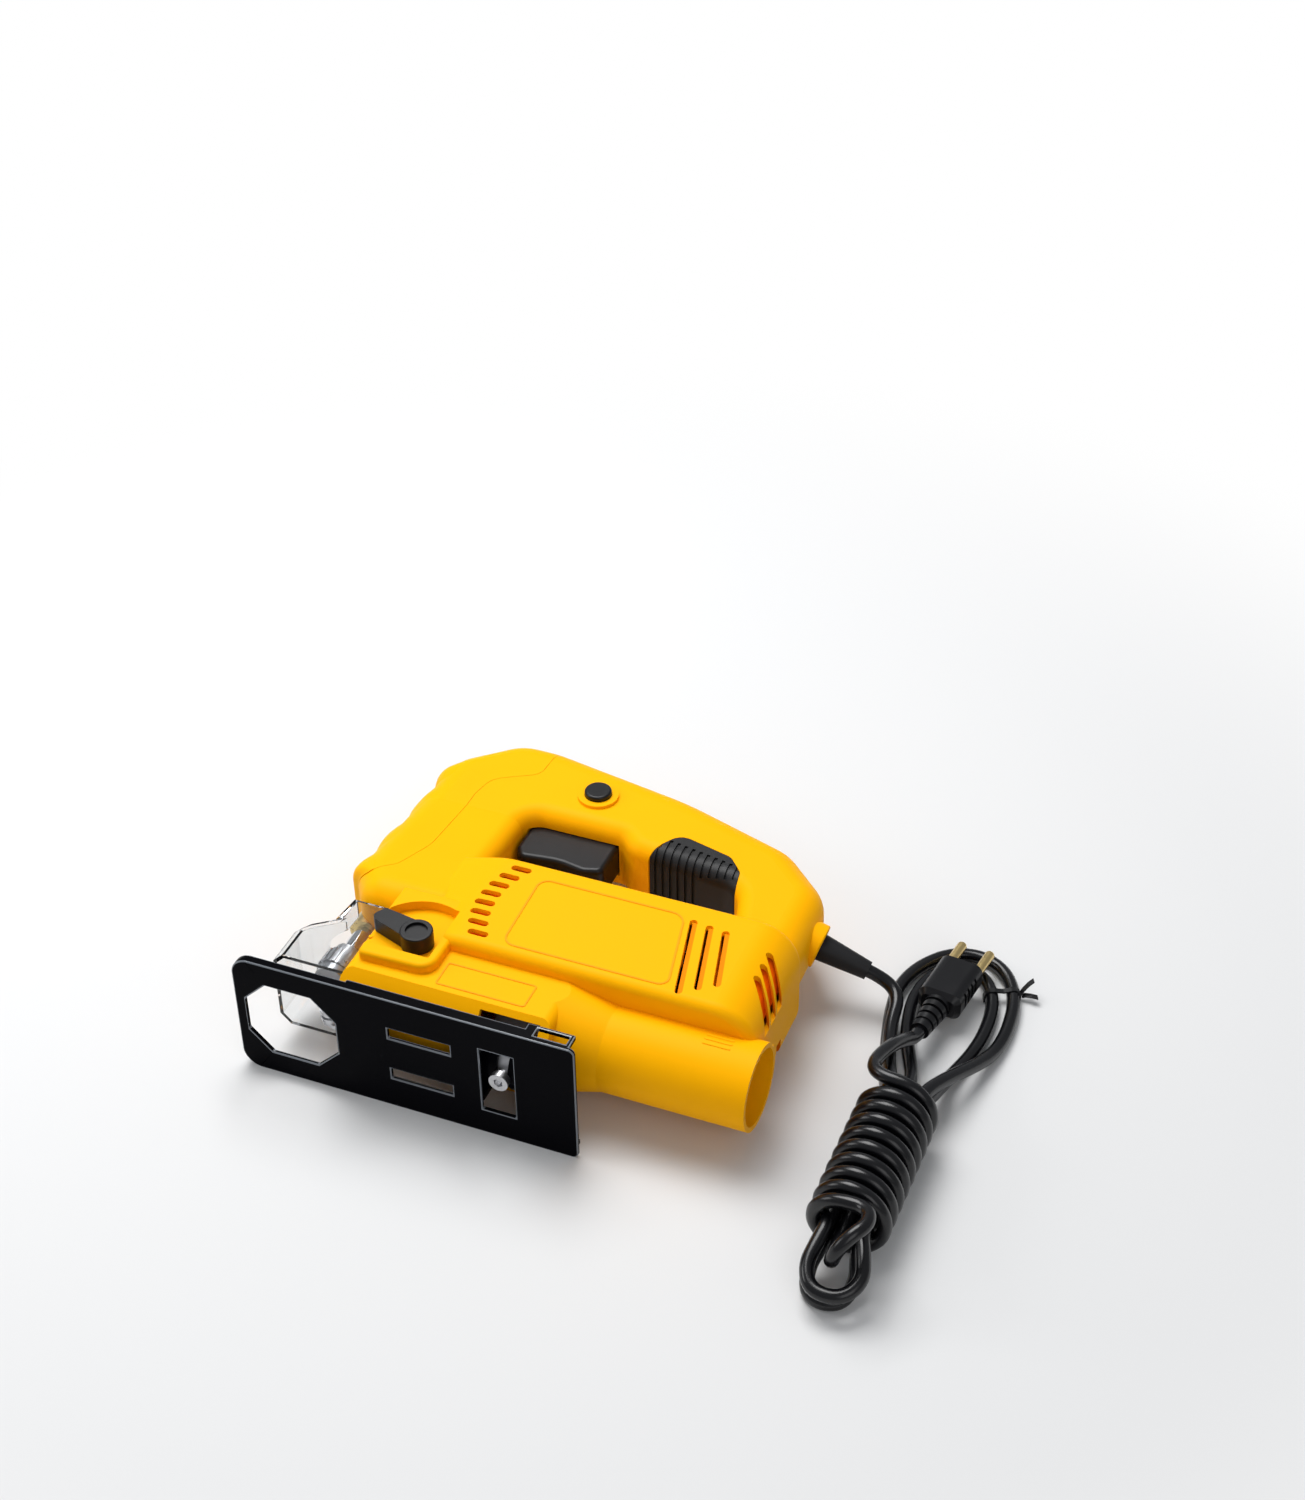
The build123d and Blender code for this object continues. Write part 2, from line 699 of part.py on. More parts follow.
def commutator():
    end = commutator_front + commutator_length
    body = along_x(commutator_front, end, commutator_radius, motor_y)
    body = body - along_x(commutator_front - 1, end + 1, shaft_radius, motor_y)
    cuts = []
    for i in range(2 * slot_count):
        turn = Pos(0, motor_y, 0) * Rot(i * 180 / slot_count, 0, 0)
        cuts.append(turn * block(commutator_front - 1, end + 1,
                                 commutator_radius - 1, commutator_radius + 1, -0.3, 0.3))
    return body - cuts


def fan():
    disc = along_x(fan_front + 8, fan_front + 10, fan_radius, motor_y)
    hub = along_x(fan_front, fan_front + 10, shaft_radius + 4, motor_y)
    blades = []
    for i in range(blade_count):
        turn = Pos(0, motor_y, 0) * Rot(i * 360 / blade_count, 0, 0)
        blades.append(turn * block(fan_front + 1, fan_front + 8.5,
                                   shaft_radius + 3, fan_radius - 0.5, -0.8, 0.8))
    return disc + hub + blades - along_x(fan_front - 1, fan_front + 11, shaft_radius, motor_y)


def bearing(front):
    ring = along_x(front, front + bearing_width, bearing_radius, motor_y)
    ring = ring - along_x(front - 1, front + bearing_width + 1, shaft_radius + run, motor_y)
    for face in (front - 0.1, front + bearing_width - 0.5):
        groove = along_x(face, face + 0.6, bearing_radius - 1.8, motor_y)
        ring = ring - (groove - along_x(face, face + 0.6, shaft_radius + 2, motor_y))
    return ring


def stator():
    end = stator_front + stator_length
    ring = along_x(stator_front, end, stator_radius, motor_y)
    return ring - along_x(stator_front - 1, end + 1, stator_bore, motor_y)


def stator_coils():
    end = stator_front + stator_length
    coils = []
    for x0, x1 in ((stator_front - coil_length, stator_front), (end, end + coil_length)):
        ring = along_x(x0, x1, coil_radius, motor_y) - along_x(x0 - 1, x1 + 1, coil_bore, motor_y)
        coils.append(fillet(ring.edges(), (coil_radius - coil_bore) / 4))
    return Compound(children=coils)


def brush_pair(reach, y_half, x_half, end):
    middle = commutator_front + commutator_length / 2
    return both_sides(middle - x_half, middle + x_half, motor_y - y_half, motor_y + y_half, reach, end)


def carbon_brushes():
    return brush_pair(commutator_radius + run, brush_thick, brush_wide, holder_end - 3)


def brush_holders():
    tubes = brush_pair(commutator_radius + 2, brush_thick + 1.2, brush_wide + 1.2, holder_end)
    return tubes - brush_pair(commutator_radius, brush_thick + run, brush_wide + run, half_width)


def gear_frame():
    rear = frame_front + frame_width
    plate = block(frame_front, rear, frame_low, frame_high, -frame_half, frame_half)
    plate = fillet(plate.edges().filter_by(Axis.X), 4)
    plate = plate - along_x(rear - bearing_width, rear + 1, bearing_radius + run, motor_y)
    plate = plate - along_x(frame_front - 1, rear, bearing_radius - 3, motor_y)
    return plate - along_x(frame_front - 1, rear + 1, axle_radius, gear_y)


def gear_axle():
    return along_x(gear_front - slip, frame_front + frame_width, axle_radius, gear_y)


def plunger():
    rod = along_y(plunger_low, plunger_high, plunger_radius, plunger_x)
    yoke = block(plunger_x + 1, yoke_rear, gear_y - yoke_height / 2, gear_y + yoke_height / 2,
                 -yoke_half, yoke_half)
    yoke = fillet(yoke.edges().filter_by(Axis.X), 3)
    slot_half = crank_radius + slip
    slot = block(plunger_x + plunger_radius + 2, yoke_rear + 1, gear_y - slot_half, gear_y + slot_half,
                 -stroke / 2 - slot_half, stroke / 2 + slot_half)
    return rod + yoke - slot


def bush(low, length):
    ring = along_y(low, low + length, bush_radius, plunger_x)
    return ring - along_y(low - 1, low + length + 1, plunger_radius + run, plunger_x)


def blade_clamp():
    low = plunger_low + 6 - clamp_length
    body = along_y(low, plunger_low + 6, clamp_radius, plunger_x)
    body = body + along_y(low, low + clamp_flange, clamp_radius + 1, plunger_x)
    body = body - along_y(plunger_low, plunger_low + 7, plunger_radius, plunger_x)
    slot = block(plunger_x - 4.5, plunger_x + 4.5, low - 1, plunger_low - 2, -0.8, 0.8)
    return body - slot


def clamp_collar():
    low = plunger_low + 6 - clamp_length + clamp_flange + slip
    ring = along_y(low, low + collar_length, collar_radius, plunger_x)
    knurls = []
    for i in range(knurl_count):
        turn = Pos(plunger_x, 0, 0) * Rot(0, i * 360 / knurl_count, 0)
        knurls.append(turn * block(collar_radius - 0.6, collar_radius + 1,
                                   low - 1, low + collar_length + 1, -0.7, 0.7))
    return ring - knurls - along_y(low - 1, low + collar_length + 1, clamp_radius + run, plunger_x)


def pendulum_arm():
    cheek = outline([
        (roller_x - 5, roller_y - 4, 4), (roller_x + 4, roller_y - 5.5, 4), (pivot_x + 5, pivot_y - 3, 4),
        (lever_x - 3.7, lever_y - 7.3, 2), (lever_x - 6.7, lever_y - 4.8, 1), (pivot_x - 5, pivot_y + 4, 5),
        (roller_x - 4, roller_y + 4, 4)])
    arm = extrude(cheek, arm_half, both=True)
    arm = arm - block(roller_x - 12, roller_x + roller_radius + 2, 0, roller_y + 12,
                      -roller_half - slip, roller_half + slip)
    arm = arm - along_z(-arm_half - 1, arm_half + 1, roller_pin_radius, roller_x, roller_y)
    return arm - along_z(-arm_half - 1, arm_half + 1, pivot_radius + run, pivot_x, pivot_y)


def guide_roller():
    groove = 1.4
    profile = polygon([
        (roller_pin_radius + run, -roller_half), (roller_radius, -roller_half), (roller_radius, -groove / 2),
        (roller_radius - 1.2, -groove / 2), (roller_radius - 1.2, groove / 2), (roller_radius, groove / 2),
        (roller_radius, roller_half), (roller_pin_radius + run, roller_half)])
    wheel = revolve(Plane.XZ * profile, Axis.Z)
    return Pos(roller_x, roller_y, 0) * wheel


def foot_block():
    rear = foot_front + foot_length
    foot = along_x(foot_front, rear, foot_radius, tilt_y)
    foot = foot & block(foot_front, rear, 0, tilt_y, -half_width, half_width)
    stem = block(foot_front, rear, tilt_y, tilt_y + 8, -foot_radius + 3.5, foot_radius - 3.5)
    seat = case_half - wall - run
    flange = block(foot_front, rear, tilt_y + 8, tilt_y + 14, -seat, seat)
    hole = along_y(0, tilt_y, tilt_screw_radius + run, tilt_screw_x)
    return foot + stem + flange - hole


def tilt_screw():
    head_top = tilt_y - cradle_radius - shoe_plate - slip
    head = along_y(head_top - 3.4, head_top, tilt_head_radius, tilt_screw_x)
    socket = extrude(Plane((tilt_screw_x, head_top - 3.4, 0), z_dir=(0, 1, 0)) * RegularPolygon(2.3, 6), 2)
    shank = along_y(head_top, tilt_y - 2, tilt_screw_radius, tilt_screw_x)
    return head + shank - socket


def swung(x0, x1, inner, outer, sweep_angle):
    wedge = Plane.YZ * polygon([
        (tilt_y, 0), (tilt_y - 40, -40 * math.tan(math.radians(sweep_angle))),
        (tilt_y - 40, 40 * math.tan(math.radians(sweep_angle)))])
    ring = along_x(x0, x1, outer, tilt_y) - along_x(x0 - 1, x1 + 1, inner, tilt_y)
    return ring & Pos(x0, 0, 0) * extrude(wedge, x1 - x0)


def shoe_bracket():
    rear = foot_front + foot_length
    outer = cradle_radius + shoe_plate
    cradle = swung(foot_front, rear, cradle_radius, outer, cradle_angle)
    slot_half = tilt_screw_radius + slip
    reach = tilt_range + math.degrees(math.asin((slot_half + slip) / cradle_radius))
    cradle = cradle - swung(tilt_screw_x - slot_half, tilt_screw_x + slot_half,
                            cradle_radius - 1, outer + 1, reach)
    leg_top = tilt_y - cradle_radius * math.cos(math.radians(cradle_angle))
    for x0, x1 in ((foot_front, tilt_screw_x - 8), (tilt_screw_x + 8, rear)):
        legs = both_sides(x0, x1, shoe_plate, leg_top, outer - shoe_plate - 1, outer)
        cradle = cradle + (legs - along_x(x0 - 1, x1 + 1, cradle_radius, tilt_y))
    return cradle


# Pressed sole plate with turned-up edges, blade cut-out and the guide slot in its rear bridges
def shoe():
    plan = Plane.XZ * outline([
        (0, -half_width, 9), (shoe_length, -half_width, 3), (shoe_length, half_width, 3), (0, half_width, 9)])
    plate = extrude(plan, -shoe_plate)
    rim = plan - offset(plan, -shoe_plate)
    for x0, x1, height in ((-1, 56, rim_front_height), (55, bridge_front + 1, rim_height),
                           (bridge_front, shoe_length - 3, bridge_height)):
        plate = plate + (extrude(rim, -height) & block(x0, x1, 0, height, -half_width, half_width))
    side = cut_half - cut_chamfer
    cut = Plane.XZ * polygon([
        (cut_front, -side), (cut_front + cut_chamfer, -cut_half), (cut_rear - cut_chamfer, -cut_half),
        (cut_rear, -side), (cut_rear, side), (cut_rear - cut_chamfer, cut_half),
        (cut_front + cut_chamfer, cut_half), (cut_front, side)])
    plate = plate - Pos(0, -1, 0) * extrude(cut, -shoe_plate - 2)
    plate = plate - block(tilt_screw_x - 8, tilt_screw_x + 8, -1, shoe_plate + 1, -18, 18)
    plate = plate - both_sides(76, 106, -1, shoe_plate + 1, 9, 15)
    sill = shoe_plate + 1
    window = both_sides(bridge_front + 5, bridge_front + 5 + guide_width, sill, sill + guide_height,
                        half_width - 4, half_width + 1)
    return plate - window


def arm_pivot():
    return along_z(-arm_pin_half, arm_pin_half, pivot_radius, pivot_x, pivot_y)


def roller_pin():
    return along_z(-arm_half, arm_half, roller_pin_radius, roller_x, roller_y)


def flank_edges(solid, half, behind):
    return [e for e in solid.edges() if abs(e.center().Z) > half - 0.1 and e.center().X < behind]


def chip_guard():
    rear = case_front - slip
    top = nose_low - slip
    outer = polygon([
        (rear, guard_low), (guard_front, guard_low), (guard_front, 41), (guard_front + 4, 47),
        (guard_front + 17, 57), (guard_front + 18, top), (rear, top)])
    shell = extrude(outer, guard_half, both=True)
    shell = chamfer(flank_edges(shell, guard_half, guard_front + 12), 5)
    w = guard_wall
    inner = polygon([
        (rear + 9, 0), (guard_front + w, 0), (guard_front + w, 41 - w / 3), (guard_front + 4 + w, 47 - w),
        (guard_front + 17 + w, 57 - w), (guard_front + 18 + w, top + 9), (rear + 9, top + 9)])
    room = extrude(inner, guard_half - w, both=True)
    room = chamfer(flank_edges(room, guard_half - w, guard_front + 14), 5 - w * 0.6)
    notch = along_y(36, nose_low, guard_notch, plunger_x)
    notch = notch + block(plunger_x, rear + 1, 36, nose_low, -guard_notch, guard_notch)
    return shell - room - notch


def cord_sleeve():
    root, tip = sleeve_neck, sleeve_length
    taper = Pos(0, 0, (root + tip) / 2) * Cone(sleeve_radius, sleeve_tip_radius, tip - root)
    return sleeve_solid(0, sleeve_neck) + sleeve_frame() * taper


def cord_point(u, v, h):
    return Vector(hank_x + u, hank_y + v, floor_z + h)


def knot(u, v, h, du, dv, dh=0.0):
    return cord_point(u, v, h), Vector(du, dv, dh).normalized()


def biarc(p0, t0, p1, t1):
    gap = p1 - p0
    a = 2 * (1 - t0.dot(t1))
    b = 2 * gap.dot(t0 + t1)
    c = gap.dot(gap)
    reach = c / b if a < 1e-9 else (math.sqrt(b * b + 4 * a * c) - b) / (2 * a)
    near, far = p0 + t0 * reach, p1 - t1 * reach
    middle = (near + far) * 0.5
    return [Edge.make_tangent_arc(p0, t0, middle), Edge.make_tangent_arc(middle, far - near, p1)]


# A route is a list of places and headings; two that face each other make a straight run
def route_edges(route):
    edges = []
    for (p0, t0), (p1, t1) in zip(route, route[1:]):
        straight = (p1 - p0).normalized()
        if straight.dot(t0) > 1 - 1e-9 and straight.dot(t1) > 1 - 1e-9:
            edges.append(Edge.make_line(p0, p1))
        else:
            edges += biarc(p0, t0, p1, t1)
    return edges


# Least air between strands of one tube, measured on points along its middle line
def least_gap(edges):
    points, run_length = [], 0.0
    for edge in edges:
        steps = max(2, round(edge.length / 1.5))
        points += [(run_length + edge.length * i / steps, edge @ (i / steps)) for i in range(steps)]
        run_length += edge.length
    far = 6 * cord_radius
    gaps = [(p - q).length for i, (s, p) in enumerate(points) for t, q in points[:i] if s - t > far]
    return min(gaps, default=run_length) - 2 * cord_radius


def tube(name, route):
    edges = route_edges(route)
    start, heading = route[0]
    solid = sweep(Plane(start, z_dir=heading) * Circle(cord_radius), path=Wire(edges))
    length = sum(edge.length for edge in edges)
    radii = [edge.radius for edge in edges if edge.geom_type == GeomType.CIRCLE]
    full = math.pi * cord_radius ** 2 * length
    print(name, "length", round(length), "tightest", round(min(radii), 1),
          "least air", round(least_gap(edges), 2), "volume ratio", round(solid.volume / full, 4))
    return solid


def sleeve_tip():
    place = Plane(sleeve_frame() * Pos(0, 0, sleeve_length))
    return place.origin, place.z_dir


def lead_route():
    return [sleeve_tip(), knot(-21, 96, 14.5, 0.05, -1, -0.1), hank_route()[0]]


# Two loops and two folds through the waist, one strand after the other
def hank_route():
    low, high = waist_high - strand_h, waist_high + strand_h
    u, h = strand_u, cord_radius
    return [
        knot(-14, 66, 16, 0.2, -1, 0.15), knot(-u, waist, high, 0, -1), knot(-u, -waist, high, 0, -1),
        knot(-9, -54, 17.5, 0, -1, -0.3), knot(2.5, -69, 12, 1, 0), knot(14, -54, 17.5, -0.1, 1, 0.3),
        knot(u, -waist, high, 0, 1), knot(u, waist, high, 0, 1),
        knot(18, 74, 12, 0.3, 1, -0.3), knot(27, 112, h, 0, 1), knot(1, 159, h, -1, 0),
        knot(-27, 124, h, 0.05, -1), knot(-24, 102, h, 0.2, -1), knot(-16, 70, 6, 0.2, -1, 0.2),
        knot(-u, waist, low, 0, -1), knot(-u, -waist, low, 0, -1),
        knot(-10, -52, 7, 0.1, -1, -0.4), knot(0, -64, h, 1, 0), knot(10, -52, 7, -0.1, 1, 0.4),
        knot(u, -waist, low, 0, 1), knot(u, waist, low, 0, 1),
        knot(11, 72, 6.5, 0.2, 1, -0.2), knot(18, 107, h, 0, 1), knot(0, 148, h, -1, 0),
        knot(-18.5, 120, h, 0.08, -1), knot(-12, 90, 5, 0.3, -1, 0.2), knot(-0.5, 60, 13, 0.1, -1, 0.3),
        knot(0, waist, waist_high, 0, -1), knot(0, -waist - 3.6, waist_high, 0, -1),
    ]


# Turns round the waist, from the U-turn below it to a straight end above it
def wrap_route():
    route = [
        hank_route()[-1], knot(0, -waist - 10, waist_high, 0, -1),
        knot(4, -waist - 19, 26.5, 0.3, 0, 1), knot(10.5, -waist - 10, 35.2, 0, 1, -0.05)]
    turn = 2 * math.pi * wrap_radius
    for quarter in range(4 * wrap_turns + 1):
        angle = -quarter * math.pi / 2
        v = wrap_pitch * (quarter / 4 - wrap_turns / 2)
        route.append(knot(wrap_radius * math.sin(angle), v, waist_high + wrap_radius * math.cos(angle),
                          -turn * math.cos(angle), wrap_pitch, turn * math.sin(angle)))
    place, heading = route[-1]
    route.append((place + heading * 2 * cord_radius, heading))
    return route


def plug_frame():
    place, heading = tail_route()[-1]
    return Plane(place, x_dir=heading.cross(Vector(0, 0, 1)), z_dir=heading)


def tail_route():
    return [wrap_route()[-1], knot(-14.5, 49, 30, 0, 1, -0.2), knot(-11.5, 68, 24.5, 0.1, 1, -0.45),
            knot(-7, 90, 14, 0.12, 1, -0.05)]


def plug_body():
    relief = Pos(0, 0, plug_relief / 2) * Cone(sleeve_tip_radius, sleeve_radius, plug_relief)
    groove = Cylinder(sleeve_radius + 1, 1.5) - Cylinder(sleeve_tip_radius - 0.3, 2)
    rings = [Pos(0, 0, 4 + i * 4.5) * groove for i in range(4)]
    body = Box(2 * plug_half_wide, 2 * plug_half_thick, plug_length)
    body = fillet(body.edges().filter_by(Axis.Z), plug_half_thick * 0.7)
    body = chamfer(body.edges().group_by(Axis.Z)[0], 2.5)
    grips = [Pos(side * plug_half_wide, 0, -6 + i * 4) * Box(2, 2 * plug_half_thick + 2, 1.6)
             for side in (1, -1) for i in range(4)]
    body = Pos(0, 0, plug_relief + plug_length / 2) * (body - grips)
    return plug_frame() * (relief - rings + body)


def plug_pins():
    pins = []
    base = plug_relief + plug_length
    for side in (1, -1):
        pin = Pos(side * pin_spread, 0, base + pin_length / 2) * Cylinder(pin_radius, pin_length)
        pin = fillet(pin.edges().group_by(Axis.Z)[-1], pin_radius * 0.8)
        pins.append(plug_frame() * pin)
    return Compound(children=pins)


# Clip over both loops at the crown
def cord_tie():
    room = 2 * cord_radius + slip
    wide = 2 * tie_room
    clip = Pos(0, 0, (room + tie_wall) / 2) * Box(wide + 2 * tie_wall, 5, room + tie_wall)
    clip = clip - Pos(0, 0, room / 2) * Box(wide, 7, room)
    spot = cord_point(tie_u, tie_v, 0)
    return Pos(spot.X, spot.Y, spot.Z) * Rot(0, 0, tie_turn) * clip


left, right, grip = housing_halves()
nodes = {
    "housing_left": left,
    "housing_right": right,
    "front_grip": grip,
    "handle_insert": handle_insert(),
    "housing_screws": housing_screws(),
    "trigger": trigger(),
    "switch": switch(),
    "lock_button": lock_button(),
    "pendulum_lever": pendulum_lever(),
    "lever_cam": lever_cam(),
    "stator": stator(),
    "stator_coils": stator_coils(),
    "armature_shaft": armature_shaft(),
    "armature_core": armature_core(),
    "armature_winding": armature_winding(),
    "commutator": commutator(),
    "fan": fan(),
    "front_bearing": bearing(frame_front + frame_width - bearing_width),
    "rear_bearing": bearing(rear_bearing_front),
    "brush_holders": brush_holders(),
    "carbon_brushes": carbon_brushes(),
    "gear_frame": gear_frame(),
    "gear_axle": gear_axle(),
    "drive_gear": drive_gear(),
    "crank_pin": crank_pin(),
    "plunger": plunger(),
    "upper_bush": bush(upper_bush_low, upper_bush_length),
    "lower_bush": bush(nose_low, lower_bush_length),
    "blade_clamp": blade_clamp(),
    "clamp_collar": clamp_collar(),
    "pendulum_arm": pendulum_arm(),
    "arm_pivot": arm_pivot(),
    "guide_roller": guide_roller(),
    "roller_pin": roller_pin(),
    "foot_block": foot_block(),
    "shoe": shoe(),
    "shoe_bracket": shoe_bracket(),
    "tilt_screw": tilt_screw(),
    "chip_guard": chip_guard(),
    "cord_sleeve": cord_sleeve(),
    "cord_lead": tube("lead", lead_route()),
    "cord_hank": tube("hank", hank_route()),
    "cord_wrap": tube("wrap", wrap_route()),
    "cord_tail": tube("tail", tail_route()),
    "plug_body": plug_body(),
    "plug_pins": plug_pins(),
    "cord_tie": cord_tie(),
}

# The stored frame stands on the floor under the middle of the tool, cord sleeve included
rear_end = nodes["cord_sleeve"].bounding_box().max.X
placing = Pos(-rear_end / 2, -left.bounding_box().max.Y / 2, half_width)
print("middle at", round(rear_end / 2, 3), round(left.bounding_box().max.Y / 2, 3))
os.makedirs("parts", exist_ok=True)
for name, solid in nodes.items():
    export_step(placing * solid, "parts/" + name + ".step")
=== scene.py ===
import json
import math

import bmesh
import bpy
from mathutils import Matrix, Vector


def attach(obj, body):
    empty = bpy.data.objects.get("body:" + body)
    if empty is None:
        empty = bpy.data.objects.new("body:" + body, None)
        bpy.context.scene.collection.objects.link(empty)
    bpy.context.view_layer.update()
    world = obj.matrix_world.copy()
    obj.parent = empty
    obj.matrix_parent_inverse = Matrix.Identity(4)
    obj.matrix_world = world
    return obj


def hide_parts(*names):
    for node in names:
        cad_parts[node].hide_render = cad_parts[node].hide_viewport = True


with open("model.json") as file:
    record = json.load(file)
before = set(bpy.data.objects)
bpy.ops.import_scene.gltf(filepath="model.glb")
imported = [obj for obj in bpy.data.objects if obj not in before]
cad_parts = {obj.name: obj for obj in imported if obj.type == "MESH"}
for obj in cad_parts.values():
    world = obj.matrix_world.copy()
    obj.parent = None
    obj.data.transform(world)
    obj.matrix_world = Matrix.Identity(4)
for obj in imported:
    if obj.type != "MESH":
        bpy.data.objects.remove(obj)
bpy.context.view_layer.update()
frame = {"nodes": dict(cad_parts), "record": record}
nodes = frame["nodes"]
scene = bpy.context.scene
# The frame's origin in metres from the shoe's front edge, the sole and the seam
toolMiddle = Vector((0.12642, 0.10561, -0.032))
print("frame loaded:", len(nodes), "nodes")


# Tool millimetres, from the shoe's front edge, the sole and the seam, to the frame's metres
def toolPlace(x, y, z):
    return Vector((x, y, z)) / 1000 - toolMiddle


# Camera at the photograph's viewing angle
camera = {"lens": 59.28, "sensor": 36.0, "azimuth": 22.5, "elevation": 37.1, "roll": -0.9,
          "place": (483.8, -678.3, 756.2)}


def addCamera(spec):
    data = bpy.data.cameras.new("photoCamera")
    data.lens = spec["lens"]
    data.sensor_width = spec["sensor"]
    azimuth, elevation, roll = (math.radians(spec[k]) for k in ("azimuth", "elevation", "roll"))
    back = Vector((math.sin(azimuth) * math.cos(elevation), -math.cos(azimuth) * math.cos(elevation),
                   math.sin(elevation)))
    right = Vector((math.cos(azimuth), math.sin(azimuth), 0))
    up = back.cross(right)
    sideways = right * math.cos(roll) + up * math.sin(roll)
    upright = up * math.cos(roll) - right * math.sin(roll)
    turn = Matrix((sideways, upright, back)).transposed()
    rig = bpy.data.objects.new("photoCamera", data)
    rig.matrix_world = Matrix.Translation(toolPlace(*spec["place"])) @ turn.to_4x4()
    scene.collection.objects.link(rig)
    scene.camera = rig


addCamera(camera)


# Node helpers
def mathNode(tree, kind, first, second=None):
    node = tree.nodes.new("ShaderNodeMath")
    node.operation = kind
    for socket, value in zip(node.inputs, (first, second)):
        if isinstance(value, (int, float)):
            socket.default_value = value
        elif value is not None:
            tree.links.new(value, socket)
    return node.outputs["Value"]


def noiseNode(tree, scale, detail, coords):
    node = tree.nodes.new("ShaderNodeTexNoise")
    node.inputs["Scale"].default_value = scale
    node.inputs["Detail"].default_value = detail
    tree.links.new(coords, node.inputs["Vector"])
    return node


# Pale floor that runs out to white, and soft light from above
studio = {"floor": (0.72, 0.72, 0.72), "floorSize": 4.0, "floorRough": 0.9, "floorGloss": 0.1,
          "fadeFrom": 0.30, "fadeTo": 0.62, "world": (0.93, 0.96, 1.0), "worldStrength": 0.34,
          "lampsAimAt": (0.02, 0, 0.02),
          "lamps": [("topLamp", (-0.38, 0.36, 1.30), 0.9, 20.5), ("frontLamp", (0.75, -0.85, 0.75), 0.7, 2.2),
                    ("leftLamp", (-1.1, -0.35, 0.6), 0.5, 3.0)]}


def addStudio(spec):
    bm = bmesh.new()
    bmesh.ops.create_grid(bm, x_segments=1, y_segments=1, size=spec["floorSize"])
    mesh = bpy.data.meshes.new("studioFloor")
    bm.to_mesh(mesh)
    bm.free()
    floor = bpy.data.objects.new("studioFloor", mesh)
    scene.collection.objects.link(floor)
    mesh.materials.append(floorPaint(spec))
    world = bpy.data.worlds.new("studioWorld")
    scene.world = world
    world.use_nodes = True
    tree = world.node_tree
    light = tree.nodes["Background"]
    light.inputs["Color"].default_value = (*spec["world"], 1)
    light.inputs["Strength"].default_value = spec["worldStrength"]
    white = tree.nodes.new("ShaderNodeBackground")
    white.inputs["Color"].default_value = (1, 1, 1, 1)
    seen = tree.nodes.new("ShaderNodeLightPath").outputs["Is Camera Ray"]
    mix = tree.nodes.new("ShaderNodeMixShader")
    tree.links.new(seen, mix.inputs["Fac"])
    tree.links.new(light.outputs["Background"], mix.inputs[1])
    tree.links.new(white.outputs["Background"], mix.inputs[2])
    tree.links.new(mix.outputs["Shader"], tree.nodes["World Output"].inputs["Surface"])
    for name, place, size, power in spec["lamps"]:
        data = bpy.data.lights.new(name, "AREA")
        data.shape = "SQUARE"
        data.size = size
        data.energy = power
        lamp = bpy.data.objects.new(name, data)
        lamp.location = place
        aim = Vector(spec["lampsAimAt"]) - Vector(place)
        lamp.rotation_euler = aim.to_track_quat("-Z", "Y").to_euler()
        scene.collection.objects.link(lamp)


def floorPaint(spec):
    mat = bpy.data.materials.new("floorPaint")
    mat.use_nodes = True
    tree = mat.node_tree
    shader = tree.nodes["Principled BSDF"]
    shader.inputs["Base Color"].default_value = (*spec["floor"], 1)
    shader.inputs["Roughness"].default_value = spec["floorRough"]
    shader.inputs["Specular IOR Level"].default_value = spec["floorGloss"]
    white = tree.nodes.new("ShaderNodeEmission")
    white.inputs["Color"].default_value = (1, 1, 1, 1)
    coords = tree.nodes.new("ShaderNodeTexCoord").outputs["Object"]
    away = tree.nodes.new("ShaderNodeVectorMath")
    away.operation = "LENGTH"
    tree.links.new(coords, away.inputs[0])
    fade = tree.nodes.new("ShaderNodeMapRange")
    fade.interpolation_type = "SMOOTHSTEP"
    fade.inputs["From Min"].default_value = spec["fadeFrom"]
    fade.inputs["From Max"].default_value = spec["fadeTo"]
    tree.links.new(away.outputs["Value"], fade.inputs["Value"])
    seen = tree.nodes.new("ShaderNodeLightPath").outputs["Is Camera Ray"]
    mix = tree.nodes.new("ShaderNodeMixShader")
    tree.links.new(mathNode(tree, "MULTIPLY", seen, fade.outputs["Result"]), mix.inputs["Fac"])
    tree.links.new(shader.outputs["BSDF"], mix.inputs[1])
    tree.links.new(white.outputs["Emission"], mix.inputs[2])
    tree.links.new(mix.outputs["Shader"], tree.nodes["Material Output"].inputs["Surface"])
    return mat


addStudio(studio)
scene.view_settings.view_transform = "Standard"
print("camera and studio ready")


# Shared effect: fine moulded grain, with a slow drift of tone and gloss over the surface
grainLook = {"tone": (0.5, 0.5, 0.5), "deep": (0.4, 0.4, 0.4), "rough": (0.3, 0.45), "drift": 30.0,
             "driftDetail": 3.0, "driftRange": (0.3, 0.7), "grain": 2500.0, "grainDetail": 2.0, "bump": 0.1,
             "bumpDepth": 0.0001}


